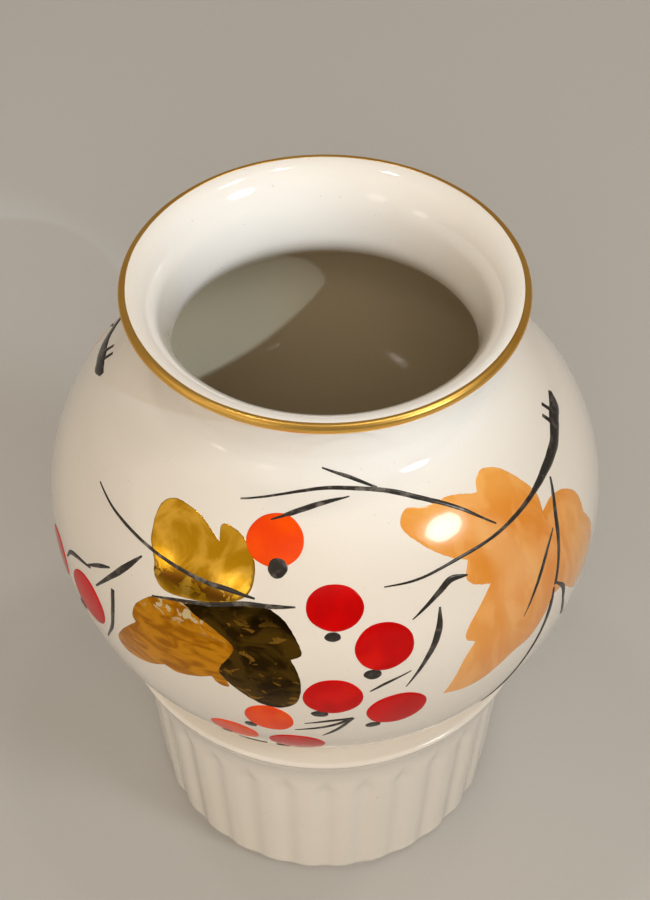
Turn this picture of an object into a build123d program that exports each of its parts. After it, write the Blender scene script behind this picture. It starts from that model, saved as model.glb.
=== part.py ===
from build123d import *
import math
import os

os.makedirs("parts", exist_ok=True)

# A glazed porcelain flower vase: a round bulb with a flared mouth, luted onto a
# fluted drum foot, gilded on the lip and painted over the glaze on both faces.
# Millimetres. The origin is the centre of the foot ring, on the table; +Z is up
# and -Y is the face that carries the front painting.

# ---- driving dimensions -------------------------------------------------------
total_height = 178.0
wall = 2.6

belly_height = 113.6
lower_curve = 66.9
lower_centre = 1.0
shoulder_curve = 44.5
shoulder_centre = 23.4
neck_radius = 37.8
neck_height = 161.5

lip_round = 1.2
lip_centre = 44.8
gilding = 0.15

ledge_height = 66.0
ledge_radius = 54.9
rebate_depth = 1.2
ledge_round = 1.0

drum_top_radius = 50.1
drum_top_height = 50.0
drum_base_radius = 46.9
base_round = 3.2
flute_count = 30
flute_cutter = 2.4
flute_depth = 0.75
foot_ring_inner = 40.5
foot_recess = 2.2
floor_top = 6.0
floor_round = 4.0
drum_wall = 3.0
band_wall = 4.5
ledge_thickness = 6.0

enamel = 0.2
enamel_low = 72.0
prism_reach = 30.0

# ---- the bulb's outline ---------------------------------------------------------
# Two arcs meet upright at the belly; a hollow arc turns the shoulder into the neck.
neck_side = neck_radius - shoulder_centre
neck_rise = neck_height - belly_height
neck_curve = (neck_side**2 + neck_rise**2 - shoulder_curve**2) / (2 * (shoulder_curve - neck_side))
neck_centre = neck_radius + neck_curve
turn_angle = math.degrees(math.atan2(neck_rise, neck_centre - shoulder_centre))
turn_height = belly_height + shoulder_curve * math.sin(math.radians(turn_angle))
flare_rise = total_height - neck_height


def bulb_outline(lift, from_height):
    """The bulb's line from from_height up to the neck, moved out by lift."""
    low = math.degrees(math.asin((belly_height - from_height) / (lower_curve + lift)))
    CenterArc((lower_centre, belly_height), lower_curve + lift, -low, low)
    CenterArc((shoulder_centre, belly_height), shoulder_curve + lift, 0, turn_angle)
    CenterArc((neck_centre, neck_height), neck_curve - lift, 180 + turn_angle, -turn_angle)


def lower_radius(height, lift=0.0):
    return lower_centre + math.sqrt((lower_curve + lift) ** 2 - (height - belly_height) ** 2)


def bulb_radius(height):
    """Outer radius of the bulb at a height above the table."""
    if height <= belly_height:
        return lower_radius(height)
    if height <= turn_height:
        return shoulder_centre + math.sqrt(shoulder_curve**2 - (height - belly_height) ** 2)
    return neck_centre - math.sqrt(neck_curve**2 - (height - neck_height) ** 2)


def bulb_slope(height):
    """How far the bulb's outward normal leans up at a height, in radians."""
    if height <= belly_height:
        return math.asin((height - belly_height) / lower_curve)
    if height <= turn_height:
        return math.asin((height - belly_height) / shoulder_curve)
    return math.asin((neck_height - height) / neck_curve)


# ---- bulb: belly, neck and flared mouth, one hollow casting ----------------------
seat_radius = lower_radius(ledge_height)
seat_height = ledge_height - rebate_depth
bore_radius = lower_radius(seat_height, -wall)

with BuildPart() as bulb:
    with BuildSketch(Plane.XZ):
        with BuildLine():
            bulb_outline(0, ledge_height)
            EllipticalCenterArc(
                (lip_centre, neck_height),
                lip_centre - neck_radius,
                flare_rise - 2 * lip_round,
                start_angle=90,
                arc_size=90,
            )
            CenterArc((lip_centre, total_height - lip_round), lip_round, -90, 180)
            EllipticalCenterArc(
                (lip_centre, neck_height),
                lip_centre - neck_radius + wall,
                flare_rise,
                start_angle=90,
                arc_size=90,
            )
            bulb_outline(-wall, seat_height)
            Polyline(
                (seat_radius, ledge_height),
                (seat_radius, seat_height),
                (bore_radius, seat_height),
            )
        make_face()
    revolve(axis=Axis.Z)
bulb.part.label = "bulb"
export_step(bulb.part, "parts/bulb.step")

# ---- fluted foot: ledge, plain band, reeded drum, floor and foot ring ------------
drum_lean = (drum_top_radius - drum_base_radius) / drum_top_height
drum_slope = (drum_lean, 1)
ring_outer = drum_base_radius - base_round * 0.75
floor_corner = (drum_base_radius - drum_wall, floor_top + floor_round)
floor_edge = (floor_corner[0] - floor_round, floor_top)

# One flute: a round-nosed cutter that leans with the drum and just bites into it.
stand_off = flute_cutter - flute_depth
with BuildPart() as flute:
    with BuildLine():
        flute_line = Line(
            (drum_base_radius + stand_off, 0, -4),
            (drum_top_radius + stand_off, 0, drum_top_height - flute_cutter / 2),
        )
    with BuildSketch(Plane(origin=flute_line @ 0, z_dir=flute_line % 0)):
        Circle(flute_cutter)
    extrude(amount=flute_line.length)
    with Locations(flute_line @ 1):
        Sphere(flute_cutter)

with BuildPart() as fluted_foot:
    with BuildSketch(Plane.XZ):
        with BuildLine():
            Polyline(
                (0, floor_top),
                (0, foot_recess),
                (foot_ring_inner - 1, foot_recess),
                (foot_ring_inner, 0),
                (ring_outer, 0),
            )
            base_edge = (drum_base_radius + drum_lean * base_round, base_round)
            TangentArc(base_edge, (ring_outer, 0), tangent=(-drum_lean, -1))
            Line(base_edge, (drum_top_radius, drum_top_height))
            band_top = (ledge_radius, ledge_height - ledge_round)
            TangentArc((drum_top_radius, drum_top_height), band_top, tangent=drum_slope)
            ledge_edge = (ledge_radius - ledge_round, ledge_height)
            CenterArc((ledge_radius - ledge_round, ledge_height - ledge_round), ledge_round, 0, 90)
            Polyline(
                ledge_edge,
                (seat_radius, ledge_height),
                (seat_radius, seat_height),
                (bore_radius, seat_height),
                (bore_radius, seat_height - wall),
                (ledge_radius - band_wall, ledge_height - ledge_thickness),
                (drum_top_radius - drum_wall, drum_top_height - drum_wall),
                floor_corner,
            )
            TangentArc(
                floor_corner,
                floor_edge,
                tangent=(-drum_lean, -1),
            )
            Line(floor_edge, (0, floor_top))
        make_face()
    revolve(axis=Axis.Z)
    with PolarLocations(0, flute_count, start_angle=-90):
        add(flute.part, mode=Mode.SUBTRACT)
fluted_foot.part.label = "fluted_foot"
export_step(fluted_foot.part, "parts/fluted_foot.step")

# ---- rim gilding: a film of fired gold over the lip's outer edge ------------------
with BuildPart() as rim_gilding:
    with BuildSketch(Plane.XZ):
        with Locations((lip_centre, total_height - lip_round)):
            Circle(lip_round + gilding)
            Circle(lip_round, mode=Mode.SUBTRACT)
            Rectangle(
                2 * (lip_round + gilding),
                4 * lip_round,
                align=(Align.MIN, Align.CENTER),
                mode=Mode.INTERSECT,
            )
    revolve(axis=Axis.Z)
rim_gilding.part.label = "rim_gilding"
export_step(rim_gilding.part, "parts/rim_gilding.step")

# ---- the painted layer -------------------------------------------------------------
# Everything painted is cut from one thin skin that lies on the bulb.
with BuildPart() as paint_layer:
    with BuildSketch(Plane.XZ):
        with BuildLine():
            bulb_outline(0, enamel_low)
            bulb_outline(enamel, enamel_low)
            Line((lower_radius(enamel_low), enamel_low), (lower_radius(enamel_low, enamel), enamel_low))
            Line((neck_radius, neck_height), (neck_radius + enamel, neck_height))
        make_face()
    revolve(axis=Axis.Z)


def touch_point(azimuth, height):
    """The point of the bulb's surface at an azimuth, 0 in front and growing to the right."""
    angle = math.radians(azimuth)
    radius = bulb_radius(height)
    return Vector(radius * math.sin(angle), -radius * math.cos(angle), height)


def canvas(azimuth, height):
    """The plane that touches the bulb there, x to the right and y up."""
    angle = math.radians(azimuth)
    lean = bulb_slope(height)
    normal = Vector(math.sin(angle) * math.cos(lean), -math.cos(angle) * math.cos(lean), math.sin(lean))
    return Plane(touch_point(azimuth, height), Vector(math.cos(angle), math.sin(angle), 0), normal)


def on_canvas(plane, turn, places):
    """Places given as (azimuth, height), seen straight on from the plane."""
    flat = []
    for azimuth, height in places:
        seen = plane.to_local_coords(touch_point(azimuth + turn, height))
        flat.append(Vector(seen.X, seen.Y))
    return flat


def ellipse_patch(plane, width, tall, tilt=0):
    with BuildSketch(plane, mode=Mode.PRIVATE) as shape:
        Ellipse(width / 2, tall / 2, rotation=tilt)
    return shape.sketch


def lobed_patch(plane, turn, lobes):
    """A leaf: each lobe is a smooth line from notch to notch, and the last closes it."""
    with BuildSketch(plane, mode=Mode.PRIVATE) as shape:
        with BuildLine():
            for lobe in lobes:
                Spline(*on_canvas(plane, turn, lobe))
        make_face()
    return shape.sketch


def brush_patch(plane, turn, places, widths):
    """A brush stroke: a smooth line through the places, as wide as widths say."""
    centre = on_canvas(plane, turn, places)
    left = []
    right = []
    for index, point in enumerate(centre):
        before = centre[max(index - 1, 0)]
        after = centre[min(index + 1, len(centre) - 1)]
        across = (after - before).normalized().rotate(Axis.Z, 90)
        left.append(point + across * widths[index] / 2)
        right.append(point - across * widths[index] / 2)
    with BuildSketch(plane, mode=Mode.PRIVATE) as shape:
        with BuildLine():
            Spline(*left)
            Spline(*right)
            Line(left[0], right[0])
            Line(left[-1], right[-1])
        make_face()
    return shape.sketch


def paint(name, patches, over=()):
    """Cut the patches out of the painted layer, less what is painted over them."""
    with BuildPart() as film:
        for patch in patches:
            extrude(patch, amount=prism_reach, both=True)
        add(paint_layer.part, mode=Mode.INTERSECT)
        for later in over:
            add(later, mode=Mode.SUBTRACT)
    film.part.label = name
    export_step(film.part, f"parts/{name}.step")
    return film.part


# Each berry: azimuth, height, width, tall, then its dark eye: azimuth, height, width, tall.
red_berries = [
    (2.0, 137.5, 12.5, 11.0, 1.5, 131.5, 3.5, 2.5),
    (11.5, 128.0, 13.5, 12.5, 9.0, 121.0, 4.0, 3.0),
    (1.5, 114.0, 13.5, 12.5, -1.0, 107.5, 4.0, 2.5),
    (14.0, 106.5, 14.0, 13.0, 9.5, 100.5, 3.5, 2.5),
    (-6.0, 88.5, 13.5, 13.0, -9.5, 82.5, 3.5, 2.5),
    (-55.0, 113.5, 14.5, 14.0, -58.5, 106.5, 3.5, 2.5),
    (-70.0, 112.0, 13.0, 12.5, -73.5, 106.0, 3.5, 2.5),
]
orange_berries = [
    (-12.0, 148.0, 12.5, 12.0, -10.5, 144.0, 4.5, 4.5),
    (-11.0, 103.0, 11.5, 12.0, -15.0, 98.0, 3.0, 2.5),
    (-19.5, 90.5, 12.0, 11.5, -22.0, 86.0, 3.0, 2.5),
]

# Leaves, as lobes of (azimuth, height) from notch to notch.
gold_leaf = [
    [(-25.0, 145.8), (-30.0, 147.8), (-34.0, 148.6), (-40.0, 148.6), (-42.8, 146.6)]
    + [(-41.3, 141.5), (-38.5, 138.0), (-37.0, 135.0), (-33.5, 133.2), (-24.6, 134.6)],
    [(-24.6, 134.6), (-17.8, 137.0), (-15.4, 140.0), (-15.8, 144.2), (-19.0, 147.2)]
    + [(-23.0, 148.4), (-25.8, 148.2), (-25.0, 145.8)],
]
copper_leaf = [
    [(-35.5, 131.0), (-37.5, 129.5), (-40.0, 126.0), (-40.5, 122.5), (-39.5, 121.0)],
    [(-39.5, 121.0), (-43.0, 115.5), (-45.0, 110.0), (-42.5, 107.0), (-37.0, 108.5), (-32.5, 112.0)],
    [(-32.5, 112.0), (-29.5, 111.5), (-25.0, 113.5), (-22.0, 115.5)],
    [(-22.0, 115.5), (-20.5, 113.5), (-18.5, 113.5), (-19.0, 116.0)],
    [(-19.0, 116.0), (-18.5, 120.0), (-17.5, 125.5), (-22.0, 131.0), (-29.0, 133.0), (-35.5, 131.0)],
]
dark_leaf = [
    [(-29.5, 132.5), (-22.0, 135.0), (-16.0, 136.5), (-11.0, 136.5)],
    [(-11.0, 136.5), (-8.0, 134.5), (-5.5, 130.5), (-4.5, 127.0), (-6.5, 125.5)],
    [(-6.5, 125.5), (-5.0, 121.5), (-4.5, 116.5), (-5.5, 111.5), (-8.5, 109.0), (-12.0, 109.5)]
    + [(-15.5, 112.0), (-19.0, 115.5)],
    [(-19.0, 115.5), (-20.5, 118.0), (-20.0, 120.5)],
    [(-20.0, 120.5), (-18.5, 123.5), (-18.0, 126.5), (-22.5, 129.5), (-26.5, 131.0), (-29.5, 132.5)],
]
lustre_leaf = [
    [(41.5, 149.0), (43.5, 150.5), (47.0, 151.0), (51.5, 149.5), (54.5, 146.0), (56.0, 142.5)]
    + [(55.0, 139.0)],
    [(55.0, 139.0), (59.5, 139.5), (64.5, 137.5), (67.5, 133.5), (67.5, 128.0)],
    [(67.5, 128.0), (70.0, 122.0), (69.5, 115.5), (66.0, 109.5), (60.5, 110.5), (54.5, 118.5)],
    [(54.5, 118.5), (51.0, 118.5), (48.5, 115.0), (44.5, 111.0), (39.5, 110.0), (33.0, 106.5)]
    + [(28.0, 106.0), (23.5, 107.5)],
    [(23.5, 107.5), (25.5, 112.5), (27.5, 118.0), (30.0, 122.0)],
    [(30.0, 122.0), (28.0, 124.0), (29.0, 127.0), (32.0, 130.5), (35.5, 134.0)],
    [(35.5, 134.0), (32.0, 135.5), (30.5, 137.5), (32.0, 140.5)],
    [(32.0, 140.5), (27.0, 143.0), (22.5, 146.0), (19.0, 149.0), (21.5, 151.0), (26.5, 150.5)]
    + [(34.0, 150.5), (41.5, 149.0)],
]

# Brush strokes: places as (azimuth, height), and the stroke's width at each.
thick_branch = [
    ([(85.5, 147.0), (82.0, 146.0), (77.5, 145.5), (72.0, 144.5), (67.0, 144.0), (61.0, 143.5)]
     + [(55.0, 143.0), (42.5, 142.0), (30.0, 141.5), (20.0, 140.5), (12.5, 140.5)],
     [1.4, 3.4, 3.4, 3.0, 2.8, 2.2, 1.5, 1.0, 0.8, 0.6, 0.3]),
    ([(79.5, 145.5), (79.0, 148.5)], [1.4, 1.0]),
    ([(76.0, 145.5), (75.5, 148.0)], [1.4, 1.0]),
]
long_twig = [
    ([(-23.5, 152.0), (-7.5, 154.0), (4.5, 154.5), (17.5, 153.5), (27.0, 151.5), (35.0, 148.5)]
     + [(42.0, 143.5)], [0.4, 0.7, 0.9, 1.1, 1.2, 1.0, 0.5]),
]
side_twigs = [
    ([(-1.0, 158.0), (7.5, 156.0), (15.5, 154.0)], [0.4, 0.9, 0.5]),
    ([(-14.0, 150.5), (-7.0, 152.0), (0.0, 153.0), (7.0, 153.5)], [0.5, 1.3, 1.0, 0.3]),
]
leaf_stems = [
    ([(62.5, 142.0), (58.5, 137.0), (56.0, 131.5), (54.0, 126.5), (52.0, 121.5)], [0.6, 1.6, 1.5, 1.2, 1.4]),
    ([(52.5, 121.5), (55.0, 117.5), (55.5, 112.5), (57.0, 105.0)], [0.7, 1.5, 1.1, 1.5]),
    ([(51.5, 121.0), (50.0, 114.5), (48.0, 108.0), (44.5, 99.0), (41.0, 90.0), (38.5, 84.0)],
     [0.8, 1.6, 1.2, 1.0, 0.8, 0.4]),
    ([(55.5, 134.5), (52.0, 132.0), (49.0, 129.0), (45.5, 125.0), (42.0, 120.5)], [0.4, 1.1, 1.3, 1.0, 0.3]),
]
loose_twigs = [
    ([(31.0, 138.0), (27.0, 138.5), (24.0, 137.0), (17.5, 133.0)], [0.4, 1.6, 1.4, 0.3]),
    ([(23.5, 134.0), (22.5, 129.0), (20.5, 124.0), (15.5, 115.0)], [0.5, 1.7, 1.4, 0.3]),
    ([(16.5, 120.0), (11.5, 117.5), (8.5, 115.5)], [0.3, 0.8, 0.4]),
    ([(5.5, 105.0), (1.0, 101.5), (-6.0, 98.5)], [0.9, 1.1, 0.3]),
    ([(5.5, 105.0), (0.5, 104.0), (-4.0, 102.5)], [0.9, 0.9, 0.3]),
    ([(5.5, 105.0), (2.5, 99.5), (-0.5, 95.5)], [0.9, 1.1, 0.3]),
    ([(-41.5, 137.0), (-45.5, 131.0), (-51.5, 121.5)], [0.5, 1.7, 0.5]),
    ([(-64.0, 117.5), (-62.5, 120.5), (-59.5, 122.5), (-54.0, 124.5)], [0.6, 1.2, 1.2, 0.5]),
    ([(-55.0, 124.5), (-51.5, 127.5), (-48.5, 129.5)], [0.5, 1.2, 0.5]),
    ([(-46.5, 125.0), (-46.0, 120.0), (-46.5, 113.0), (-49.5, 105.0)], [1.2, 1.4, 1.1, 0.4]),
    ([(-13.5, 81.5), (-17.0, 81.0), (-20.5, 80.5)], [0.9, 0.9, 0.3]),
]
gold_leaf_veins = [
    ([(-61.5, 141.5), (-54.5, 140.5), (-48.0, 140.0), (-42.0, 139.5), (-34.0, 139.0), (-26.0, 138.5)]
     + [(-20.0, 138.5), (-14.5, 138.0)], [0.4, 0.6, 0.8, 0.8, 1.0, 1.3, 1.3, 0.5]),
    ([(-36.5, 130.5), (-31.0, 132.5), (-23.5, 134.5), (-17.0, 136.5), (-11.5, 137.0), (-6.0, 137.5)],
     [0.4, 0.8, 1.1, 1.2, 1.2, 0.4]),
]


def paint_strokes(name, turn, azimuth, height, strokes, over=()):
    plane = canvas(azimuth + turn, height)
    patches = [brush_patch(plane, turn, places, widths) for places, widths in strokes]
    return paint(name, patches, over)


def paint_leaf(name, turn, azimuth, height, lobes, over):
    plane = canvas(azimuth + turn, height)
    return paint(name, [lobed_patch(plane, turn, lobes)], over)


def paint_berries(side, kind, turn, berries, over):
    """Each berry is its own film; its eye is painted over its lower edge."""
    for index, berry in enumerate(berries, start=1):
        azimuth, height, width, tall = berry[:4]
        plane = canvas(azimuth + turn, height)
        paint(f"{side}_{kind}_berry_{index}", [ellipse_patch(plane, width, tall)], over)


# ---- both painted faces: the back repeats the front, half a turn away ----------------
for side, turn in (("front", 0.0), ("back", 183.0)):
    branch = paint_strokes(f"{side}_thick_branch", turn, 48, 142, thick_branch)
    twig = paint_strokes(f"{side}_long_twig", turn, 9, 151, long_twig, [branch])
    side_twig = paint_strokes(f"{side}_side_twigs", turn, 2, 152, side_twigs, [twig])
    stems = paint_strokes(f"{side}_leaf_stems", turn, 52, 118, leaf_stems, [branch])
    veins = paint_strokes(f"{side}_gold_leaf_veins", turn, -34, 137, gold_leaf_veins)

    eyes = []
    for berry in red_berries + orange_berries:
        azimuth, height, width, tall = berry[4:]
        eyes.append(ellipse_patch(canvas(azimuth + turn, height), width, tall))
    berry_eyes = paint(f"{side}_berry_eyes", eyes)

    loose = paint_strokes(f"{side}_loose_twigs", turn, -8, 118, loose_twigs, [branch, berry_eyes])
    paint_berries(side, "red", turn, red_berries, [berry_eyes, loose])
    paint_berries(side, "orange", turn, orange_berries, [berry_eyes, side_twig, veins])

    dark = paint_leaf(f"{side}_dark_leaf", turn, -12, 124, dark_leaf, [veins])
    gold = paint_leaf(f"{side}_gold_leaf", turn, -29, 141, gold_leaf, [veins, dark])
    paint_leaf(f"{side}_copper_leaf", turn, -32, 121, copper_leaf, [veins, dark, gold])
    paint_leaf(f"{side}_lustre_leaf", turn, 45, 130, lustre_leaf, [branch, twig, stems, loose])
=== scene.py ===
import math
import random

import bmesh
import bpy
import numpy as np
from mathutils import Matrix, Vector, noise
from mathutils.geometry import delaunay_2d_cdt


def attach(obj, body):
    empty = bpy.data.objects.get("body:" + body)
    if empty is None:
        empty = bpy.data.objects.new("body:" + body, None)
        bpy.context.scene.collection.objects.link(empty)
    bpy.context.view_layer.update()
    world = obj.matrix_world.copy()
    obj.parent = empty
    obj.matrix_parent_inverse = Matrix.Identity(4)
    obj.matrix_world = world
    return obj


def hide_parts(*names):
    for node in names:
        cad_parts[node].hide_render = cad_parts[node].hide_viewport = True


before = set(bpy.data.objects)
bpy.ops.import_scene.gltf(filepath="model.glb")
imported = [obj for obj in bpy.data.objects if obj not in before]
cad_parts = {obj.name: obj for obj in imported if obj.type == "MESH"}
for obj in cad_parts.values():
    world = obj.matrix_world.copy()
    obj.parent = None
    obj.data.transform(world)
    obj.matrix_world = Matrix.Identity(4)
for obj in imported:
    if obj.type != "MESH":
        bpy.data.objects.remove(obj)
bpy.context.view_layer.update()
MM = 0.001

# ---- camera: looks down into the mouth from in front -----------------------------------
# A short telephoto close to the vase, so that the mouth looks wide and the foot small.
camera = bpy.data.objects.new("camera", bpy.data.cameras.new("camera"))
bpy.context.collection.objects.link(camera)
camera.data.lens = 68
camera.data.sensor_width = 36
camera.location = (0.0, -0.2862, 0.4282)
camera.rotation_euler = (math.radians(90 - 46.9), 0.0, 0.0)
bpy.context.scene.camera = camera
bpy.context.scene.view_settings.view_transform = "Standard"

# ---- room light: a window, three small ceiling lamps and soft fill from the front ---------
# Each lamp: azimuth and elevation in degrees, its apparent radius in degrees, how much it
# lights a surface that faces it, its colour, and whether glaze and gold mirror it.
world = bpy.data.worlds.new("soft_room")
world.use_nodes = True
world.node_tree.nodes["Background"].inputs["Color"].default_value = (1.0, 0.92, 0.82, 1)
world.node_tree.nodes["Background"].inputs["Strength"].default_value = 0.24
bpy.context.scene.world = world

AIM = Vector((0, 0, 0.13))
LAMP_DISTANCE = 2.0
WARM, SOFT, DAY = (1.0, 0.82, 0.58), (1.0, 0.93, 0.84), (0.92, 0.97, 1.0)
LAMPS = {
    "window": (57, 38, 7.0, 0.22, DAY, True),
    "ceiling_right": (96, 66, 3.2, 0.10, SOFT, True),
    "ceiling_middle": (90, 80, 1.8, 0.04, SOFT, True),
    "ceiling_left": (-99, 75, 1.8, 0.05, SOFT, True),
    "front_fill": (0, 40, 18.0, 0.47, SOFT, False),
    "back_fill": (180, 40, 18.0, 0.08, SOFT, False),
    "left_fill": (-62, 36, 30.0, 0.14, WARM, True),
    "low_front": (-33, 17, 6.0, 0.022, SOFT, True),
    "low_left": (-63, 9, 4.5, 0.014, SOFT, True),
}
for lamp_name, (azimuth, elevation, radius, light, tint, mirrored) in LAMPS.items():
    turned, raised = math.radians(azimuth), math.radians(elevation)
    direction = Vector(
        (math.cos(raised) * math.sin(turned), -math.cos(raised) * math.cos(turned), math.sin(raised))
    )
    lamp = bpy.data.objects.new(lamp_name, bpy.data.lights.new(lamp_name, "AREA"))
    bpy.context.collection.objects.link(lamp)
    lamp.data.shape = "DISK"
    lamp.data.size = 2 * LAMP_DISTANCE * math.tan(math.radians(radius))
    lamp.data.energy = light * (math.pi * LAMP_DISTANCE) ** 2
    lamp.data.color = tint
    lamp.visible_glossy = mirrored
    lamp.location = AIM + direction * LAMP_DISTANCE
    lamp.rotation_euler = (-direction).to_track_quat("-Z", "Y").to_euler()


# Daylight falls through the mouth on to the left of the inner wall.
MOUTH = Vector((0, 0, 0.165))
shaft = bpy.data.objects.new("mouth_daylight", bpy.data.lights.new("mouth_daylight", "SPOT"))
bpy.context.collection.objects.link(shaft)
shaft.data.energy = 430.0
shaft.data.color = (0.60, 0.79, 1.0)
shaft.data.spot_size = math.radians(1.2)
shaft.data.spot_blend = 0.5
shaft.data.shadow_soft_size = 0.04
shaft.visible_glossy = False
shaft_way = Vector((0.43, -0.66, 0.61)).normalized()
shaft.location = MOUTH + shaft_way * LAMP_DISTANCE
shaft.rotation_euler = (-shaft_way).to_track_quat("-Z", "Y").to_euler()


# ---- shader helpers ----------------------------------------------------------------------
class Socket:
    """One value in a recipe; arithmetic on it adds Math nodes."""

    def __init__(self, recipe, link):
        self.recipe = recipe
        self.link = link

    def maths(self, operation, first, second):
        return self.recipe.node("ShaderNodeMath", {"operation": operation}, {0: first, 1: second})

    def __add__(self, other):
        return self.maths("ADD", self, other)

    def __radd__(self, other):
        return self.maths("ADD", other, self)

    def __sub__(self, other):
        return self.maths("SUBTRACT", self, other)

    def __rsub__(self, other):
        return self.maths("SUBTRACT", other, self)

    def __mul__(self, other):
        return self.maths("MULTIPLY", self, other)

    def __rmul__(self, other):
        return self.maths("MULTIPLY", other, self)


class Recipe:
    """A material with one Principled shader, built node by node."""

    def __init__(self, name):
        self.material = bpy.data.materials.new(name)
        self.material.use_nodes = True
        self.tree = self.material.node_tree
        self.shader = self.tree.nodes["Principled BSDF"]

    def node(self, kind, settings=None, values=None, out=0):
        made = self.tree.nodes.new(kind)
        for key, value in (settings or {}).items():
            setattr(made, key, value)
        for key, value in (values or {}).items():
            self.feed(made.inputs[key], value)
        return Socket(self, made.outputs[out])

    def feed(self, entry, value):
        if isinstance(value, Socket):
            self.tree.links.new(value.link, entry)
        else:
            entry.default_value = value

    def place(self):
        return self.node("ShaderNodeTexCoord", out="Object")

    def noise(self, scale, detail=2.0, stretch=None, out="Fac", distortion=0.0):
        where = self.place()
        if stretch:
            where = self.node("ShaderNodeMapping", {}, {"Vector": where, "Scale": stretch})
        return self.node(
            "ShaderNodeTexNoise",
            {},
            {"Vector": where, "Scale": scale, "Detail": detail, "Distortion": distortion},
            out,
        )

    def blend(self, factor, first, second, mode="MIX"):
        """Mix of two colours."""
        return self.node(
            "ShaderNodeMix",
            {"data_type": "RGBA", "blend_type": mode},
            {0: factor, 6: first, 7: second},
            out=2,
        )

    def ramp(self, value, low, high):
        """0 below low, 1 above high, smooth between."""
        return self.node(
            "ShaderNodeMapRange",
            {"interpolation_type": "SMOOTHSTEP"},
            {"Value": value, "From Min": low, "From Max": high},
        )

    def bump(self, height, strength, distance):
        return self.node(
            "ShaderNodeBump", {}, {"Height": height, "Strength": strength, "Distance": distance}
        )

    def finish(self, **values):
        for key, value in values.items():
            self.feed(self.shader.inputs[key.replace("_", " ")], value)
        return self.material


def rgb(red, green, blue):
    return (red, green, blue, 1.0)


# ---- bulb: the slip-cast porcelain belly, neck and flared mouth ---------------------------
# Cast in plaster, 2.6 mm thick, biscuit fired, then glazed inside and out. The clear glaze
# pools a little, so the gloss is not quite flat. Inside, below the throat, shade is painted
# on as a tan that deepens downwards.
TOTAL = 178.0
WALL = 2.6
BELLY = 113.6
LOWER_CURVE, LOWER_CENTRE = 66.9, 1.0
SHOULDER_CURVE, SHOULDER_CENTRE = 44.5, 23.4
NECK_RADIUS, NECK = 37.8, 161.5
LIP_ROUND, LIP_CENTRE = 1.2, 44.8
LEDGE, REBATE = 66.0, 1.2
neck_side = NECK_RADIUS - SHOULDER_CENTRE
neck_rise = NECK - BELLY
NECK_CURVE = (neck_side**2 + neck_rise**2 - SHOULDER_CURVE**2) / (2 * (SHOULDER_CURVE - neck_side))
NECK_CENTRE = NECK_RADIUS + NECK_CURVE
TURN = math.atan2(neck_rise, NECK_CENTRE - SHOULDER_CENTRE)


def arc(centre, radii, start, end, step=0.8):
    """Points (r, z) along an ellipse's arc, angles in radians."""
    count = max(2, math.ceil(abs(end - start) * max(radii) / step))
    angles = [start + (end - start) * i / count for i in range(count + 1)]
    return [(centre[0] + radii[0] * math.cos(a), centre[1] + radii[1] * math.sin(a)) for a in angles]


def bulb_line(lift, from_height):
    """The bulb's line from from_height up to the neck, moved out by lift."""
    low = math.asin((BELLY - from_height) / (LOWER_CURVE + lift))
    line = arc((LOWER_CENTRE, BELLY), (LOWER_CURVE + lift,) * 2, -low, 0)
    line += arc((SHOULDER_CENTRE, BELLY), (SHOULDER_CURVE + lift,) * 2, 0, TURN)[1:]
    line += arc((NECK_CENTRE, NECK), (NECK_CURVE - lift,) * 2, math.pi + TURN, math.pi)[1:]
    return line


def tidy_line(line, near=0.01):
    kept = [line[0]]
    for point in line[1:]:
        if math.dist(point, kept[-1]) > near:
            kept.append(point)
    if math.dist(kept[0], kept[-1]) < near:
        kept.pop()
    return kept


def make_object(name, verts, faces):
    mesh = bpy.data.meshes.new(name)
    mesh.from_pydata(verts, [], faces)
    body = bmesh.new()
    body.from_mesh(mesh)
    bmesh.ops.remove_doubles(body, verts=body.verts, dist=1e-7)
    bmesh.ops.recalc_face_normals(body, faces=body.faces)
    body.to_mesh(mesh)
    body.free()
    mesh.shade_smooth()
    made = bpy.data.objects.new(name, mesh)
    bpy.context.collection.objects.link(made)
    return made


def lathe(name, line, count, shape=None):
    """Turns a closed line of (r, z) round the axis; shape may change (angle, r, z)."""
    verts = []
    for i in range(count):
        angle = 2 * math.pi * i / count
        for r, z in line:
            if shape:
                r, z = shape(angle, r, z)
            verts.append((r * math.sin(angle) * MM, -r * math.cos(angle) * MM, z * MM))
    size = len(line)
    faces = []
    for i in range(count):
        j = (i + 1) % count
        for k in range(size):
            m = (k + 1) % size
            faces.append((i * size + k, j * size + k, j * size + m, i * size + m))
    return make_object(name, verts, faces)


def seat_radius(height, lift=0.0):
    return LOWER_CENTRE + math.sqrt((LOWER_CURVE + lift) ** 2 - (height - BELLY) ** 2)


half = math.pi / 2
flare = (LIP_CENTRE - NECK_RADIUS, TOTAL - NECK - 2 * LIP_ROUND)
mouth = (LIP_CENTRE - NECK_RADIUS + WALL, TOTAL - NECK)
bulb_profile = bulb_line(0, LEDGE)
bulb_profile += arc((LIP_CENTRE, NECK), flare, math.pi, half)
bulb_profile += arc((LIP_CENTRE, TOTAL - LIP_ROUND), (LIP_ROUND,) * 2, -half, half, 0.15)
bulb_profile += arc((LIP_CENTRE, NECK), mouth, half, math.pi)
bulb_profile += bulb_line(-WALL, LEDGE - REBATE)[::-1]
bulb_profile += [(seat_radius(LEDGE), LEDGE - REBATE)]
bulb = lathe("porcelain_bulb", tidy_line(bulb_profile), 288)


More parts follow.
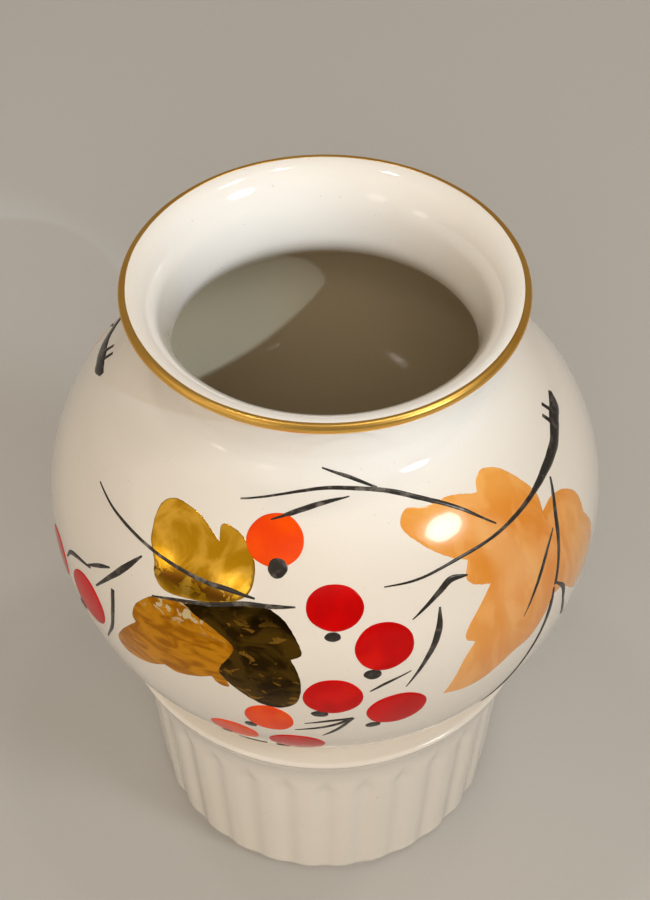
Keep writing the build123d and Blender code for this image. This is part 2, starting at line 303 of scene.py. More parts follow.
def outer_radius(z):
    if z <= BELLY:
        return LOWER_CENTRE + math.sqrt(LOWER_CURVE**2 - (z - BELLY) ** 2)
    if z <= BELLY + SHOULDER_CURVE * math.sin(TURN):
        return SHOULDER_CENTRE + math.sqrt(SHOULDER_CURVE**2 - (z - BELLY) ** 2)
    return NECK_CENTRE - math.sqrt(NECK_CURVE**2 - (min(z, NECK) - NECK) ** 2)


# Painted shade: the inside attribute darkens the inner wall below the throat, more the deeper it goes.
THROAT = (150.0, 160.0)
shade = bulb.data.attributes.new("inside", "FLOAT", "POINT")
for vert, value in zip(bulb.data.vertices, shade.data):
    r, z = math.hypot(vert.co.x, vert.co.y) / MM, vert.co.z / MM
    depth = (THROAT[1] - z) / (THROAT[1] - THROAT[0])
    value.value = min(max(depth, 0.0), 1.0) if outer_radius(z) - r > WALL / 2 else 0.0


def porcelain(name):
    recipe = Recipe(name)
    cloud = recipe.noise(14, 3)
    body = recipe.blend(recipe.ramp(cloud, 0.3, 0.7), rgb(0.83, 0.765, 0.68), rgb(0.80, 0.73, 0.64))
    speck = recipe.ramp(recipe.noise(900, 1), 0.775, 0.80)
    body = recipe.blend(speck * 0.35, body, rgb(0.42, 0.32, 0.22))
    # Painted shade: the inner wall below the throat is tinted tan through the inside attribute.
    inside = recipe.node("ShaderNodeAttribute", {"attribute_name": "inside"}, out="Fac")
    body = recipe.blend(inside, body, rgb(0.52, 0.42, 0.27))
    return recipe.finish(
        Base_Color=body,
        Roughness=0.05 + recipe.noise(60, 2) * 0.05,
        Normal=recipe.bump(recipe.noise(55, 1), 0.06, 0.0006),
        IOR=1.52,
        Coat_Weight=0.35,
        Coat_Roughness=0.03,
    )


bulb.data.materials.append(porcelain("glazed_porcelain"))
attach(bulb, "root")
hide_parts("bulb")

# ---- foot: the fluted porcelain drum -------------------------------------------------------
# Cast apart from the bulb, with thirty reeds pressed by the mould, a plain band over them and
# a narrow ledge. The bulb is luted into its rebate with slip. The foot ring is wiped bare.
LEDGE_RADIUS, LEDGE_ROUND = 54.9, 1.0
DRUM_TOP_RADIUS, DRUM_TOP = 50.1, 50.0
DRUM_BASE_RADIUS, BASE_ROUND = 46.9, 3.2
REEDS, REED_DEPTH = 30, 0.75
RING_INNER, RECESS, FLOOR = 40.5, 2.2, 6.0
FLOOR_ROUND, DRUM_WALL = 4.0, 3.0
BAND_WALL, LEDGE_THICKNESS = 4.5, 6.0
drum_lean = (DRUM_TOP_RADIUS - DRUM_BASE_RADIUS) / DRUM_TOP


def curve(first, handle, last, count=14):
    """A smooth bend from first to last that leans towards handle."""
    line = []
    for i in range(count + 1):
        t = i / count
        weights = ((1 - t) ** 2, 2 * t * (1 - t), t * t)
        line.append(tuple(np.dot(weights, axis) for axis in zip(first, handle, last)))
    return line


def straight(first, last, count):
    return [tuple(a + (b - a) * i / count for a, b in zip(first, last)) for i in range(count + 1)]


base_edge = (DRUM_BASE_RADIUS + drum_lean * BASE_ROUND, BASE_ROUND)
drum_top = (DRUM_TOP_RADIUS, DRUM_TOP)
band_top = (LEDGE_RADIUS, LEDGE - LEDGE_ROUND)
foot_profile = straight((0.0, RECESS), (RING_INNER - 1, RECESS), 4)
foot_profile += curve((RING_INNER - 0.8, RECESS - 0.4), (RING_INNER, 0.3), (RING_INNER + 0.8, 0.0), 6)
foot_profile += straight((41.5, 0.0), (44.0, 0.0), 3)
foot_profile += curve((44.5, 0.05), (46.5, 0.3), base_edge, 10)
foot_profile += straight(base_edge, drum_top, 44)
foot_profile += curve(drum_top, (DRUM_TOP_RADIUS + 0.9, DRUM_TOP + 8), band_top, 14)
foot_profile += arc((LEDGE_RADIUS - LEDGE_ROUND, LEDGE - LEDGE_ROUND), (LEDGE_ROUND,) * 2, 0, half, 0.2)
foot_profile += straight((LEDGE_RADIUS - LEDGE_ROUND, LEDGE), (seat_radius(LEDGE), LEDGE), 3)
bore = seat_radius(LEDGE - REBATE, -WALL)
seat_height = LEDGE - REBATE
foot_profile += [(seat_radius(LEDGE), seat_height), (bore, seat_height), (bore, seat_height - WALL)]
foot_profile += [(LEDGE_RADIUS - BAND_WALL, LEDGE - LEDGE_THICKNESS)]
foot_profile += [(DRUM_TOP_RADIUS - DRUM_WALL, DRUM_TOP - DRUM_WALL)]
drum_inside = DRUM_BASE_RADIUS - DRUM_WALL
floor_corner = (drum_inside, FLOOR + FLOOR_ROUND)
foot_profile += curve(floor_corner, (drum_inside, FLOOR), (drum_inside - FLOOR_ROUND, FLOOR), 6)
foot_profile += [(0.0, FLOOR)]


def smoothstep(low, high, value):
    """0 at low, 1 at high, smooth between; low may be the larger."""
    t = min(max((value - low) / (high - low), 0.0), 1.0)
    return t * t * (3 - 2 * t)


def reeded(angle, r, z):
    """Presses the valleys between the reeds; they fade out below the plain band."""
    if r < 43.5 or z > DRUM_TOP + 4 or z < 0.02:
        return r, z
    beat = abs((angle / (2 * math.pi) * REEDS + 0.5) % 1.0 - 0.5)
    valley = (0.5 + 0.5 * math.cos(2 * math.pi * beat)) ** 1.6
    arch = DRUM_TOP - 3.0 * math.sin(math.pi * beat)
    fade = smoothstep(arch + 2.0, arch - 5.0, z) * (0.35 + 0.65 * smoothstep(0, 4, z))
    return r - REED_DEPTH * valley * fade, z


foot = lathe("porcelain_foot", tidy_line(foot_profile), REEDS * 18, reeded)
foot.data.materials.append(porcelain("glazed_porcelain_foot"))
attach(foot, "root")
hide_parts("fluted_foot")

# ---- rim gilding: a film of fired gold brushed over the lip ---------------------------------
# Liquid gold put on with a brush while the vase turns on a wheel. Its inner edge wanders a
# little, and it is thickest on the outer edge of the lip.
lip_path = arc((LIP_CENTRE, TOTAL - LIP_ROUND), (LIP_ROUND,) * 2, half * 1.35, -half * 0.9, 0.1)
gold_film = 0.12


def gilded_ring(name, count=360):
    steps = len(lip_path)
    verts = []
    for i in range(count):
        angle = 2 * math.pi * i / count
        wander = noise.noise(Vector((math.cos(angle) * 3, math.sin(angle) * 3, 2.0)))
        start = 2.0 + 2.5 * wander
        for side in (1, -1):
            for k in range(steps):
                t = k / (steps - 1)
                place = max(0.0, start) + t * (steps - 1 - max(0.0, start))
                low = min(int(place), steps - 2)
                part = place - low
                here, there = lip_path[low], lip_path[low + 1]
                r = here[0] + (there[0] - here[0]) * part
                z = here[1] + (there[1] - here[1]) * part
                away = Vector((r - (LIP_CENTRE - 0.6), z - (TOTAL - LIP_ROUND - 0.6))).normalized()
                lift = gold_film * math.sin(math.pi * t) ** 0.35 if side > 0 else -0.08
                r += away.x * lift
                z += away.y * lift
                verts.append((r * math.sin(angle) * MM, -r * math.cos(angle) * MM, z * MM))
    size = 2 * steps
    ring = list(range(steps)) + [steps + k for k in reversed(range(steps))]
    faces = []
    for i in range(count):
        j = (i + 1) % count
        for k in range(size):
            m = (k + 1) % size
            faces.append((i * size + ring[k], j * size + ring[k], j * size + ring[m], i * size + ring[m]))
    return make_object(name, verts, faces)


def fired_gold(name, light, dark, streak, rough):
    """Bright fired gold with faint brush streaks."""
    recipe = Recipe(name)
    wave = recipe.noise(30, 4, streak)
    fine = recipe.noise(160, 3, streak)
    colour = recipe.blend(recipe.ramp(wave, 0.35, 0.7), light, dark)
    gloss = rough + fine * 0.10
    relief = recipe.bump(fine, 0.10, 0.0003)
    return recipe.finish(Base_Color=colour, Roughness=gloss, Metallic=1.0, Normal=relief)


rim = gilded_ring("gilded_rim")
rim.data.materials.append(
    fired_gold("rim_gold", rgb(1.0, 0.60, 0.14), rgb(0.92, 0.47, 0.08), (1, 1, 4), 0.26)
)
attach(rim, "root")
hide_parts("rim_gilding")

# ---- the painter's chart: places on the bulb as (azimuth in degrees, height in mm) -----------
# Azimuth 0 is the front and grows to the right. The chart unrolls the bulb: x is the azimuth
# and y is the way up the bulb's outline from the belly, both in mm.
CHART = 1.1
TURN_RISE = SHOULDER_CURVE * TURN


def to_chart(azimuth, height):
    if height <= BELLY:
        return azimuth * CHART, LOWER_CURVE * math.asin((height - BELLY) / LOWER_CURVE)
    if height <= BELLY + SHOULDER_CURVE * math.sin(TURN):
        return azimuth * CHART, SHOULDER_CURVE * math.asin((height - BELLY) / SHOULDER_CURVE)
    lean = math.asin((NECK - height) / NECK_CURVE)
    return azimuth * CHART, TURN_RISE + NECK_CURVE * (TURN - lean)


def on_bulb(x, y, lift):
    """The point in metres at chart place (x, y), lifted off the glaze."""
    if y <= 0:
        lean = y / LOWER_CURVE
        r, z = LOWER_CENTRE + LOWER_CURVE * math.cos(lean), BELLY + LOWER_CURVE * math.sin(lean)
    elif y <= TURN_RISE:
        lean = y / SHOULDER_CURVE
        r = SHOULDER_CENTRE + SHOULDER_CURVE * math.cos(lean)
        z = BELLY + SHOULDER_CURVE * math.sin(lean)
    else:
        lean = TURN - (y - TURN_RISE) / NECK_CURVE
        r, z = NECK_CENTRE - NECK_CURVE * math.cos(lean), NECK - NECK_CURVE * math.sin(lean)
    r += lift * math.cos(lean)
    z += lift * math.sin(lean)
    angle = math.radians(x / CHART)
    return (r * math.sin(angle) * MM, -r * math.cos(angle) * MM, z * MM)


def smooth_line(points, step=0.4):
    """A smooth line through points of any size, with the points themselves on it."""
    points = [np.array(p, float) for p in points]
    if len(points) == 2:
        points.insert(1, (points[0] + points[1]) / 2)
    before = 2 * points[0] - points[1]
    after = 2 * points[-1] - points[-2]
    chain = [before] + points + [after]
    line = []
    for a, b, c, d in zip(chain, chain[1:], chain[2:], chain[3:]):
        count = max(2, math.ceil(np.linalg.norm((c - b)[:2]) / step))
        for i in range(count):
            t = i / count
            line.append(
                0.5
                * (
                    2 * b
                    + (c - a) * t
                    + (2 * a - 5 * b + 4 * c - d) * t * t
                    + (3 * b - a - 3 * c + d) * t**3
                )
            )
    line.append(points[-1])
    return line


def film_from_outline(name, outline, thickness, edge):
    """A closed skin over the outline, flat in the middle and rounded down at its edge."""
    outline = np.array(outline)
    low, high = outline.min(0), outline.max(0)
    count = len(outline)
    nxt = np.roll(outline, -1, 0)

    def distance(points):
        best = np.full(len(points), 1e9)
        inside = np.zeros(len(points), bool)
        for a, b in zip(outline, nxt):
            along = b - a
            t = np.clip(((points - a) @ along) / max(along @ along, 1e-9), 0, 1)
            best = np.minimum(best, np.linalg.norm(points - (a + t[:, None] * along), axis=1))
            crosses = (a[1] > points[:, 1]) != (b[1] > points[:, 1])
            rise = b[1] - a[1] if abs(b[1] - a[1]) > 1e-9 else 1e-9
            inside ^= crosses & (points[:, 0] < (b[0] - a[0]) * (points[:, 1] - a[1]) / rise + a[0])
        return best, inside

    normals = np.roll(outline, -1, 0) - np.roll(outline, 1, 0)
    normals = np.stack([-normals[:, 1], normals[:, 0]], 1)
    normals /= np.maximum(np.linalg.norm(normals, axis=1), 1e-9)[:, None]
    area = (outline[:, 0] * nxt[:, 1] - nxt[:, 0] * outline[:, 1]).sum()
    inward = normals if area > 0 else -normals
    extra = [outline + inward * edge * share for share in (0.3, 0.9)]
    grid = 0.9
    xs = np.arange(low[0], high[0], grid)
    ys = np.arange(low[1], high[1], grid * 0.87)
    mesh_x, mesh_y = np.meshgrid(xs, ys)
    mesh_x[1::2] += grid / 2
    extra.append(np.stack([mesh_x.ravel(), mesh_y.ravel()], 1))
    kept = [outline]
    for share, points in zip((0.25, 0.75, 1.3), extra):
        far, within = distance(points)
        kept.append(points[within & (far > edge * share)])
    points = np.concatenate(kept)
    cut = delaunay_2d_cdt(
        [Vector(p) for p in points], [(i, (i + 1) % count) for i in range(count)], [], 1, 1e-5
    )
    flat, triangles = cut[0], cut[2]
    far, _ = distance(np.array([tuple(p) for p in flat]))
    verts = []
    for (x, y), off in zip(flat, far):
        t = min(off / edge, 1.0)
        grain = 0.88 + 0.12 * noise.noise(Vector((x * 0.5, y * 0.5, 1.0)))
        verts.append(on_bulb(x, y, thickness * grain * math.sqrt(1 - (1 - t) ** 2)))
    size = len(flat)
    verts += [on_bulb(x, y, -0.06) for x, y in flat]
    faces = [tuple(t) for t in triangles]
    faces += [tuple(size + i for i in reversed(t)) for t in triangles]
    borders = {}
    for t in triangles:
        for a, b in zip(t, list(t[1:]) + [t[0]]):
            borders[(a, b)] = True
    for a, b in list(borders):
        if (b, a) not in borders:
            faces.append((b, a, size + a, size + b))
    return make_object(name, verts, faces)


def film_from_stroke(name, places, widths, turn, thickness, seed):
    """A brush stroke: a ribbon with rounded edges, its width wandering a little."""
    draw = random.Random(seed)
    phase = [draw.uniform(0, 9) for _ in range(4)]
    path = smooth_line([(*to_chart(a + turn, h), w) for (a, h), w in zip(places, widths)], 0.35)
    across = 6
    verts = []
    for index, (x, y, width) in enumerate(path):
        before, after = path[max(index - 1, 0)], path[min(index + 1, len(path) - 1)]
        along = Vector((after[0] - before[0], after[1] - before[1])).normalized()
        stretch = bulb_stretch(y)
        side = Vector((-along.y, along.x))
        sway = [
            1 + 0.06 * math.sin(index * 0.13 + phase[0]) + 0.03 * math.sin(index * 0.37 + phase[1]),
            1 + 0.06 * math.sin(index * 0.11 + phase[2]) + 0.03 * math.sin(index * 0.33 + phase[3]),
        ]
        reach = max(width, 0.08) / 2
        row = []
        for k in range(across + 1):
            s = k / across * 2 - 1
            off = s * reach * (sway[0] if s < 0 else sway[1])
            row.append((x + side.x * off / stretch, y + side.y * off, 1 - s * s))
        height = thickness * min(1.0, reach / 0.35)
        verts += [on_bulb(a, b, 0.01 + height * math.sqrt(c)) for a, b, c in row]
        verts += [on_bulb(a, b, -0.06) for a, b, _ in reversed(row)]
    size = 2 * (across + 1)
    faces = []
    for i in range(len(path) - 1):
        for k in range(size):
            m = (k + 1) % size
            faces.append((i * size + k, (i + 1) * size + k, (i + 1) * size + m, i * size + m))
    faces.append(tuple(range(size)))
    faces.append(tuple((len(path) - 1) * size + k for k in reversed(range(size))))
    return make_object(name, verts, faces)


def bulb_stretch(y):
    """Millimetres round the bulb for each chart millimetre in x, at chart height y."""
    x0, y0, _ = on_bulb(0, y, 0)
    return math.hypot(x0, y0) / MM * math.radians(1) / CHART


def join(name, parts):
    """One object out of several loose films."""
    target = bmesh.new()
    for part in parts:
        target.from_mesh(part.data)
        bpy.data.objects.remove(part)
    mesh = bpy.data.meshes.new(name)
    target.to_mesh(mesh)
    target.free()
    mesh.shade_smooth()
    made = bpy.data.objects.new(name, mesh)
    bpy.context.collection.objects.link(made)
    return made


def fix_film(piece, node, material):
    piece.data.materials.append(material)
    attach(piece, "root")
    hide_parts(node)


# ---- berries: round dabs of red and orange enamel --------------------------------------------
# Each is one loaded touch of a round brush, thick and glossy, a little darker where it pooled.
# Azimuth, height, width, tall, then the eye's azimuth, height, width, tall.
RED_BERRIES = [
    (2.0, 137.5, 12.5, 11.0, 1.5, 131.5, 3.5, 2.5),
    (11.5, 128.0, 13.5, 12.5, 9.0, 121.0, 4.0, 3.0),
    (1.5, 114.0, 13.5, 12.5, -1.0, 107.5, 4.0, 2.5),
    (14.0, 106.5, 14.0, 13.0, 9.5, 100.5, 3.5, 2.5),
    (-6.0, 88.5, 13.5, 13.0, -9.5, 82.5, 3.5, 2.5),
    (-55.0, 113.5, 14.5, 14.0, -58.5, 106.5, 3.5, 2.5),
    (-70.0, 112.0, 13.0, 12.5, -73.5, 106.0, 3.5, 2.5),
]
ORANGE_BERRIES = [
    (-12.0, 148.0, 12.5, 12.0, -10.5, 144.0, 4.5, 4.5),
    (-11.0, 103.0, 11.5, 12.0, -15.0, 98.0, 3.0, 2.5),
    (-19.5, 90.5, 12.0, 11.5, -22.0, 86.0, 3.0, 2.5),
]
BERRY_FILM = 0.17


def dab(name, azimuth, height, width, tall, turn, seed, film, wobble=0.025):
    """A round dab with a hand-made outline."""
    draw = random.Random(seed)
    phases = [draw.uniform(0, 2 * math.pi) for _ in range(4)]
    x, y = to_chart(azimuth + turn, height)
    stretch = bulb_stretch(y)
    count = max(24, round(math.pi * width / 0.45))
    outline = []
    for i in range(count):
        a = 2 * math.pi * i / count
        reach = 1 + sum(wobble / k * math.sin(k * a + p) for k, p in zip((2, 3, 5, 7), phases))
        outline.append(
            (x + width / 2 * reach * math.cos(a) / stretch, y + tall / 2 * reach * math.sin(a))
        )
    return film_from_outline(name, outline, film, 0.45)


def enamel(name, main, pooled, lit, rough):
    """Opaque glossy enamel with slow brush-mark shifts of tone, and lighter patches of painted sheen."""
    recipe = Recipe(name)
    slow = recipe.noise(120, 3, (1, 1, 0.6))
    colour = recipe.blend(recipe.ramp(slow, 0.35, 0.65), main, pooled)
    # Painted sheen: lighter patches in the lit colour.
    colour = recipe.blend(recipe.ramp(recipe.noise(75, 2), 0.56, 0.74) * 0.6, colour, lit)
    relief = recipe.bump(recipe.noise(260, 2), 0.12, 0.0002)
    return recipe.finish(
        Base_Color=colour,
        Roughness=rough + recipe.noise(200, 2) * 0.08,
        Normal=relief,
        IOR=1.5,
        Specular_IOR_Level=0.15,
    )


red_enamel = enamel(
    "red_enamel", rgb(0.62, 0.0, 0.0), rgb(0.50, 0.0, 0.0), rgb(0.72, 0.006, 0.002), 0.12
)
orange_enamel = enamel(
    "orange_enamel", rgb(0.90, 0.075, 0.0), rgb(0.82, 0.05, 0.0), rgb(0.93, 0.13, 0.002), 0.12
)

# ---- eyes and brush strokes: grey-black enamel -------------------------------------------------
# The eye is a small dab under each berry. Branches, twigs and veins are single strokes of a
# pointed brush: they swell and taper, and the colour thins out to grey in streaks.
THICK_BRANCH = [
    ([(85.5, 147.0), (82.0, 146.0), (77.5, 145.5), (72.0, 144.5), (67.0, 144.0), (61.0, 143.5)]
     + [(55.0, 143.0), (42.5, 142.0), (30.0, 141.5), (20.0, 140.5), (12.5, 140.5)],
     [1.4, 3.4, 3.4, 3.0, 2.8, 2.2, 1.5, 1.0, 0.8, 0.6, 0.3]),
    ([(79.5, 145.5), (79.0, 148.5)], [1.4, 1.0]),
    ([(76.0, 145.5), (75.5, 148.0)], [1.4, 1.0]),
]
LONG_TWIG = [
    ([(-23.5, 152.0), (-7.5, 154.0), (4.5, 154.5), (17.5, 153.5), (27.0, 151.5), (35.0, 148.5)]
     + [(42.0, 143.5)], [0.4, 0.7, 0.9, 1.1, 1.2, 1.0, 0.5]),
]
SIDE_TWIGS = [
    ([(-1.0, 158.0), (7.5, 156.0), (15.5, 154.0)], [0.4, 0.9, 0.5]),
    ([(-14.0, 150.5), (-7.0, 152.0), (0.0, 153.0), (7.0, 153.5)], [0.5, 1.3, 1.0, 0.3]),
]
LEAF_STEMS = [
    ([(62.5, 142.0), (58.5, 137.0), (56.0, 131.5), (54.0, 126.5), (52.0, 121.5)],
     [0.6, 1.6, 1.5, 1.2, 1.4]),
    ([(52.5, 121.5), (55.0, 117.5), (55.5, 112.5), (57.0, 105.0)], [0.7, 1.5, 1.1, 1.5]),
    ([(51.5, 121.0), (50.0, 114.5), (48.0, 108.0), (44.5, 99.0), (41.0, 90.0), (38.5, 84.0)],
     [0.8, 1.6, 1.2, 1.0, 0.8, 0.4]),
    ([(55.5, 134.5), (52.0, 132.0), (49.0, 129.0), (45.5, 125.0), (42.0, 120.5)],
     [0.4, 1.1, 1.3, 1.0, 0.3]),
]
LOOSE_TWIGS = [
    ([(31.0, 138.0), (27.0, 138.5), (24.0, 137.0), (17.5, 133.0)], [0.4, 1.6, 1.4, 0.3]),
    ([(23.5, 134.0), (22.5, 129.0), (20.5, 124.0), (15.5, 115.0)], [0.5, 1.7, 1.4, 0.3]),
    ([(16.5, 120.0), (11.5, 117.5), (8.5, 115.5)], [0.3, 0.8, 0.4]),
    ([(5.5, 105.0), (1.0, 101.5), (-6.0, 98.5)], [0.9, 1.1, 0.3]),
    ([(5.5, 105.0), (0.5, 104.0), (-4.0, 102.5)], [0.9, 0.9, 0.3]),
    ([(5.5, 105.0), (2.5, 99.5), (-0.5, 95.5)], [0.9, 1.1, 0.3]),
    ([(-41.5, 137.0), (-45.5, 131.0), (-51.5, 121.5)], [0.5, 1.7, 0.5]),
    ([(-64.0, 117.5), (-62.5, 120.5), (-59.5, 122.5), (-54.0, 124.5)], [0.6, 1.2, 1.2, 0.5]),
    ([(-55.0, 124.5), (-51.5, 127.5), (-48.5, 129.5)], [0.5, 1.2, 0.5]),
    ([(-46.5, 125.0), (-46.0, 120.0), (-46.5, 113.0), (-49.5, 105.0)], [1.2, 1.4, 1.1, 0.4]),
    ([(-13.5, 81.5), (-17.0, 81.0), (-20.5, 80.5)], [0.9, 0.9, 0.3]),
]
GOLD_LEAF_VEINS = [
    ([(-61.5, 141.5), (-54.5, 140.5), (-48.0, 140.0), (-42.0, 139.5), (-34.0, 139.0), (-26.0, 138.5)]
     + [(-20.0, 138.5), (-14.5, 138.0)], [0.4, 0.6, 0.8, 0.8, 1.0, 1.3, 1.3, 0.5]),
    ([(-36.5, 130.5), (-31.0, 132.5), (-23.5, 134.5), (-17.0, 136.5), (-11.5, 137.0), (-6.0, 137.5)],
     [0.4, 0.8, 1.1, 1.2, 1.2, 0.4]),
]


def dark_enamel(name, lightness):
    recipe = Recipe(name)
    streak = recipe.ramp(recipe.noise(420, 3), 0.48, 0.72)
    colour = recipe.blend(streak * lightness, rgb(0.022, 0.017, 0.013), rgb(0.20, 0.17, 0.14))
    relief = recipe.bump(recipe.noise(500, 2), 0.2, 0.0002)
    return recipe.finish(
        Base_Color=colour, Roughness=0.16 + recipe.noise(300, 2) * 0.16, Normal=relief, IOR=1.5
    )


branch_enamel = dark_enamel("branch_enamel", 0.35)
twig_enamel = dark_enamel("twig_enamel", 0.8)


def strokes(name, node, turn, seed, listed, film, material):
    parts = [
        film_from_stroke(f"{name}_{i}", places, widths, turn, film, seed + i)
        for i, (places, widths) in enumerate(listed)
    ]
    fix_film(join(name, parts), node, material)


# ---- leaves: gold with painted reflections, and orange lustre --------------------------------
# The left leaf is fired gold, put on with a broad brush. Its three tones are partly the gold's
# own and partly painted reflection: copper for warm light mirrored in it, near black for dark
# surroundings. The right leaf is an orange lustre, thin and streaky, with a little gold in it.
# Lobes run from notch to notch.
GOLD_LEAF = [
    [(-25.0, 145.8), (-30.0, 147.8), (-34.0, 148.6), (-40.0, 148.6), (-42.8, 146.6)]
    + [(-41.3, 141.5), (-38.5, 138.0), (-37.0, 135.0), (-33.5, 133.2), (-24.6, 134.6)],
    [(-24.6, 134.6), (-17.8, 137.0), (-15.4, 140.0), (-15.8, 144.2), (-19.0, 147.2)]
    + [(-23.0, 148.4), (-25.8, 148.2), (-25.0, 145.8)],
]
COPPER_LEAF = [
    [(-35.5, 131.0), (-37.5, 129.5), (-40.0, 126.0), (-40.5, 122.5), (-39.5, 121.0)],
    [(-39.5, 121.0), (-43.0, 115.5), (-45.0, 110.0), (-42.5, 107.0), (-37.0, 108.5), (-32.5, 112.0)],
    [(-32.5, 112.0), (-29.5, 111.5), (-25.0, 113.5), (-22.0, 115.5)],
    [(-22.0, 115.5), (-20.5, 113.5), (-18.5, 113.5), (-19.0, 116.0)],
    [(-19.0, 116.0), (-18.5, 120.0), (-17.5, 125.5), (-22.0, 131.0), (-29.0, 133.0), (-35.5, 131.0)],
]
DARK_LEAF = [
    [(-29.5, 132.5), (-22.0, 135.0), (-16.0, 136.5), (-11.0, 136.5)],
    [(-11.0, 136.5), (-8.0, 134.5), (-5.5, 130.5), (-4.5, 127.0), (-6.5, 125.5)],
    [(-6.5, 125.5), (-5.0, 121.5), (-4.5, 116.5), (-5.5, 111.5), (-8.5, 109.0), (-12.0, 109.5)]
    + [(-15.5, 112.0), (-19.0, 115.5)],
    [(-19.0, 115.5), (-20.5, 118.0), (-20.0, 120.5)],
    [(-20.0, 120.5), (-18.5, 123.5), (-18.0, 126.5), (-22.5, 129.5), (-26.5, 131.0), (-29.5, 132.5)],
]
LUSTRE_LEAF = [
    [(41.5, 149.0), (43.5, 150.5), (47.0, 151.0), (51.5, 149.5), (54.5, 146.0), (56.0, 142.5)]
    + [(55.0, 139.0)],
    [(55.0, 139.0), (59.5, 139.5), (64.5, 137.5), (67.5, 133.5), (67.5, 128.0)],
    [(67.5, 128.0), (70.0, 122.0), (69.5, 115.5), (66.0, 109.5), (60.5, 110.5), (54.5, 118.5)],
    [(54.5, 118.5), (51.0, 118.5), (48.5, 115.0), (44.5, 111.0), (39.5, 110.0), (33.0, 106.5)]
    + [(28.0, 106.0), (23.5, 107.5)],
    [(23.5, 107.5), (25.5, 112.5), (27.5, 118.0), (30.0, 122.0)],
    [(30.0, 122.0), (28.0, 124.0), (29.0, 127.0), (32.0, 130.5), (35.5, 134.0)],
    [(35.5, 134.0), (32.0, 135.5), (30.5, 137.5), (32.0, 140.5)],
    [(32.0, 140.5), (27.0, 143.0), (22.5, 146.0), (19.0, 149.0), (21.5, 151.0), (26.5, 150.5)]
    + [(34.0, 150.5), (41.5, 149.0)],
]


def leaf(name, node, lobes, turn, film, material):
    outline = []
    for lobe in lobes:
        outline += smooth_line([to_chart(a + turn, h) for a, h in lobe], 0.45)[:-1]
    rough = []
    for x, y in outline:
        shift = 0.10 * noise.noise(Vector((x * 0.9, y * 0.9, 4.0)))
        rough.append((x + shift, y + 0.8 * shift))
    fix_film(film_from_outline(name, rough, film, 0.30), node, material)


def leaf_gold(name, light, dark, flecks, reflection_fleck_colour, edges, streak, rough):
    """Fired gold on a leaf: brush streaks of two tones, and jagged flecks of painted reflection between
    two heights.
    """
    recipe = Recipe(name)
    stroke = recipe.noise(110, 5, streak, distortion=1.2)
    colour = recipe.blend(recipe.ramp(stroke, 0.40, 0.60), light, dark)
    height = recipe.node("ShaderNodeSeparateXYZ", {}, {0: recipe.place()}, out=2)
    band = recipe.ramp(height, edges[0], edges[0] + 0.003)
    band = band * (1 - recipe.ramp(height, edges[1] - 0.002, edges[1] + 0.002))
    # Painted reflection: flecks of another colour with jagged edges, in a band between two heights.
    jagged = recipe.ramp(recipe.noise(210, 5, (1, 1, 1.6), distortion=1.5), flecks, flecks + 0.03)
    colour = recipe.blend(jagged * band, colour, reflection_fleck_colour)
    fine = recipe.noise(260, 3, streak)
    return recipe.finish(
        Base_Color=colour,
        Roughness=rough + fine * 0.12,
        Metallic=1.0,
        Normal=recipe.bump(fine, 0.12, 0.0003),
    )


bright_gold = leaf_gold(
    "bright_gold", rgb(0.90, 0.52, 0.06), rgb(0.62, 0.32, 0.01), 0.50, rgb(0.30, 0.11, 0.01),
    (0.1335, 0.1385), (1, 1, 0.5), 0.14,
)
# Painted warm reflection: the copper tone stands partly for warm light mirrored in the gold.
copper_gold = leaf_gold(
    "copper_gold", rgb(0.90, 0.38, 0.015), rgb(0.56, 0.20, 0.006), 0.53, rgb(1.0, 0.82, 0.48),
    (0.1265, 0.1350), (1, 1, 2.6), 0.14,
)
# Painted dark reflection: the near-black tone stands for dark surroundings mirrored in the gold.
dark_gold = leaf_gold(
    "dark_gold", rgb(0.035, 0.018, 0.003), rgb(0.11, 0.06, 0.008), 0.60, rgb(0.30, 0.15, 0.02),
    (0.1080, 0.1340), (1, 1, 1.3), 0.09,
)


def lustre(name):
    recipe = Recipe(name)
    long_streak = recipe.noise(26, 4, (1.4, 1.4, 0.5), distortion=0.6)
    mixed = recipe.ramp(long_streak, 0.36, 0.66)
    colour = recipe.blend(mixed, rgb(0.80, 0.33, 0.05), rgb(0.74, 0.25, 0.02))
    pale = recipe.ramp(recipe.noise(40, 2, (1, 1, 0.4)), 0.60, 0.72)
    colour = recipe.blend(pale * 0.4, colour, rgb(0.93, 0.56, 0.24))
    brushed = recipe.ramp(recipe.noise(150, 5, (1, 1, 0.35), distortion=0.8), 0.42, 0.62)
    colour = recipe.blend(brushed * 0.35, colour, rgb(0.93, 0.50, 0.16))
    return recipe.finish(
        Base_Color=colour,
        Roughness=0.14 + long_streak * 0.08,
        Normal=recipe.bump(long_streak, 0.08, 0.0004),
        IOR=1.55,
        Coat_Weight=0.6,
        Coat_Roughness=0.05,
    )


orange_lustre = lustre("orange_lustre")

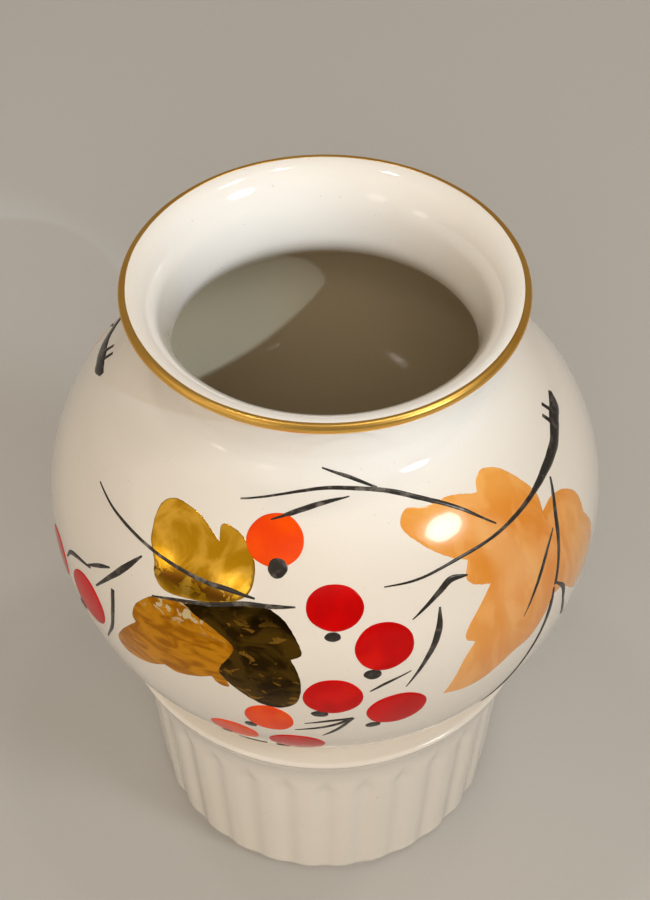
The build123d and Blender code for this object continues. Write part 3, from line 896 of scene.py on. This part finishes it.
# ---- both painted faces -------------------------------------------------------------------------
# The back repeats the front half a turn away; the hand's small wanderings differ.
LEAVES = (
    ("gold_lobes", "gold_leaf", "bright_gold", GOLD_LEAF, 0.08, bright_gold),
    ("copper_lobes", "copper_leaf", "copper_gold", COPPER_LEAF, 0.06, copper_gold),
    ("dark_lobe", "dark_leaf", "dark_gold", DARK_LEAF, 0.10, dark_gold),
    ("lustre_lobes", "lustre_leaf", "orange_lustre", LUSTRE_LEAF, 0.07, orange_lustre),
)
BERRIES = (("red", RED_BERRIES, red_enamel, 0), ("orange", ORANGE_BERRIES, orange_enamel, 50))
EYE_FILM = 0.26
STROKES = (
    ("branch_stroke", "thick_branch", 0, THICK_BRANCH, 0.20, branch_enamel),
    ("twig_stroke", "long_twig", 10, LONG_TWIG, 0.18, twig_enamel),
    ("side_twig_strokes", "side_twigs", 20, SIDE_TWIGS, 0.24, twig_enamel),
    ("stem_strokes", "leaf_stems", 30, LEAF_STEMS, 0.18, branch_enamel),
    ("loose_strokes", "loose_twigs", 40, LOOSE_TWIGS, 0.16, branch_enamel),
    ("vein_strokes", "gold_leaf_veins", 60, GOLD_LEAF_VEINS, 0.18, twig_enamel),
)
for face, turn, seed in (("front", 0.0, 11), ("back", 183.0, 47)):
    for name, node, slot, lobes, film, metal in LEAVES:
        leaf(f"{face}_{name}", f"{face}_{node}", lobes, turn, film, metal)
    eyes = []
    for kind, berries, glaze, seed_step in BERRIES:
        for i, berry in enumerate(berries, start=1):
            dab_seed = seed * 100 + i + seed_step
            fruit = dab(f"{face}_{kind}_dab_{i}", *berry[:4], turn, dab_seed, BERRY_FILM)
            fix_film(fruit, f"{face}_{kind}_berry_{i}", glaze)
            eye_name = f"{face}_{kind}_eye_{i}"
            eyes.append(dab(eye_name, *berry[4:], turn, dab_seed + 7, EYE_FILM, 0.07))
    fix_film(join(f"{face}_eyes", eyes), f"{face}_berry_eyes", branch_enamel)
    for name, node, seed_step, listed, film, paint in STROKES:
        strokes(f"{face}_{name}", f"{face}_{node}", turn, seed + seed_step, listed, film, paint)

# ---- floor: a plain pale table top ------------------------------------------------------------------
half_side = 3.0
floor = make_object(
    "floor",
    [(-half_side, -half_side, 0), (half_side, -half_side, 0)]
    + [(half_side, half_side, 0), (-half_side, half_side, 0)],
    [(0, 1, 2, 3)],
)
ground = Recipe("pale_floor")
floor.data.materials.append(ground.finish(Base_Color=rgb(0.50, 0.48, 0.45), Roughness=0.7))
